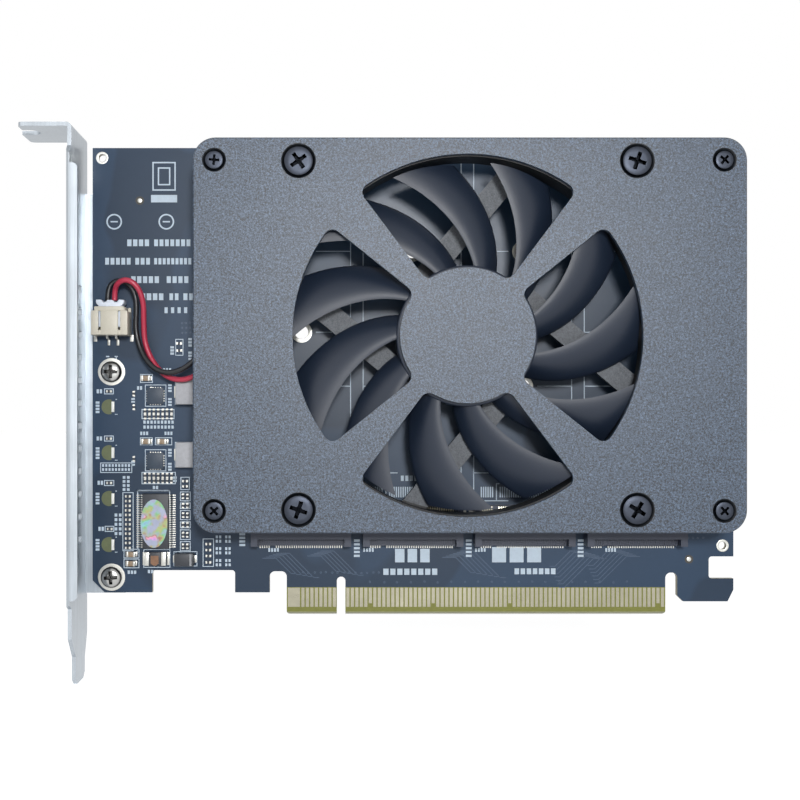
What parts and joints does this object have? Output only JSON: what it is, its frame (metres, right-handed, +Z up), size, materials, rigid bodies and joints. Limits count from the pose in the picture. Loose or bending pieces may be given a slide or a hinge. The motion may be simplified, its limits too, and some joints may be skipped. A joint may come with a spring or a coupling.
{
  "type": "nvme adapter card",
  "caption": "Full-height card for a long card-edge slot that carries M.2 drives under a flat cover with a slim axial fan, with a folded slot bracket.",
  "frame": {"origin": "middle of the key notch on the bottom of the contact edge, in the board's mid-plane", "axes": "+X along the board away from the slot bracket, +Z up from the contact edge, parts side faces -Y"},
  "size_m": [0.1571, 0.0184, 0.1205],
  "materials": {
    "board": "blue-black solder mask over fibreglass, semi gloss",
    "gold": "thin gold plating",
    "tin": "tinned copper, soft shine",
    "bracket_sheet": "nickel-plated folded steel sheet",
    "nickel_screw": "nickel-plated screw",
    "cover_paint": "dark grey finely speckled powder coat",
    "black_plated": "black-plated steel",
    "black_plastic": "textured moulded plastic",
    "blade_plastic": "smooth dark moulded plastic",
    "motor_steel": "electrical steel",
    "ferrite": "bonded ferrite ring",
    "white_plastic": "translucent white nylon",
    "bronze": "oil-filled bronze",
    "copper_wire": "enamelled copper wire",
    "motor_board": "green circuit board",
    "header_plastic": "beige nylon",
    "black_insulation": "black wire insulation",
    "red_insulation": "red wire insulation",
    "socket_plastic": "black glass-filled plastic",
    "brass": "machined brass",
    "chip_epoxy": "black moulded epoxy",
    "ferrite_grey": "grey pressed powder body",
    "ceramic": "tan ceramic",
    "foil_label": "small bare foil label",
    "fuse_body": "brown fuse body",
    "led_resin": "clear LED resin"
  },
  "bodies": {
    "card": {"bearing_sleeve": "bronze", "bracket_screw_pads": "tin", "bracket_screws": "nickel_screw", "ceramic_capacitors": "ceramic", "chip_resistors": "chip_epoxy", "circuit_board": "board", "clock_chip": "chip_epoxy", "clock_chip_leads": "tin", "cover_plate": "cover_paint", "cover_screws": "black_plated", "cover_standoffs": "black_plated", "diode": "chip_epoxy", "drive_hole_rings": "tin", "edge_contacts_front": "gold", "edge_contacts_rear": "gold", "fan_frame": "black_plastic", "fan_header": "header_plastic", "fan_plug": "white_plastic", "fan_screws": "black_plated", "fan_wire_black": "black_insulation", "fan_wire_red": "red_insulation", "fuse": "fuse_body", "header_pins": "tin", "indicator_leds": "led_resin", "inspection_sticker": "foil_label", "m2_anchor_tabs": "tin", "m2_contacts": "gold", "m2_socket_1": "socket_plastic", "m2_socket_2": "socket_plastic", "m2_socket_3": "socket_plastic", "m2_socket_4": "socket_plastic", "m2_standoffs": "brass", "motor_board": "motor_board", "mounting_bracket": "bracket_sheet", "part_terminals": "tin", "power_inductors": "ferrite_grey", "regulator_chips": "chip_epoxy", "standoff_screws": "black_plated", "stator_coils": "copper_wire", "stator_core": "motor_steel", "tooling_hole_rings": "tin"},
    "impeller": {"fan_impeller": "blade_plastic", "rotor_cup": "motor_steel", "rotor_magnet": "ferrite", "motor_shaft": "motor_steel", "shaft_clip": "white_plastic"}
  },
  "joints": [
    {"name": "fan_spin", "type": "hinge", "parent": "card", "child": "impeller", "pos_m": [0.0267, -0.01078, 0.0611], "axis": [0, -1, 0], "continuous": true}
  ]
}
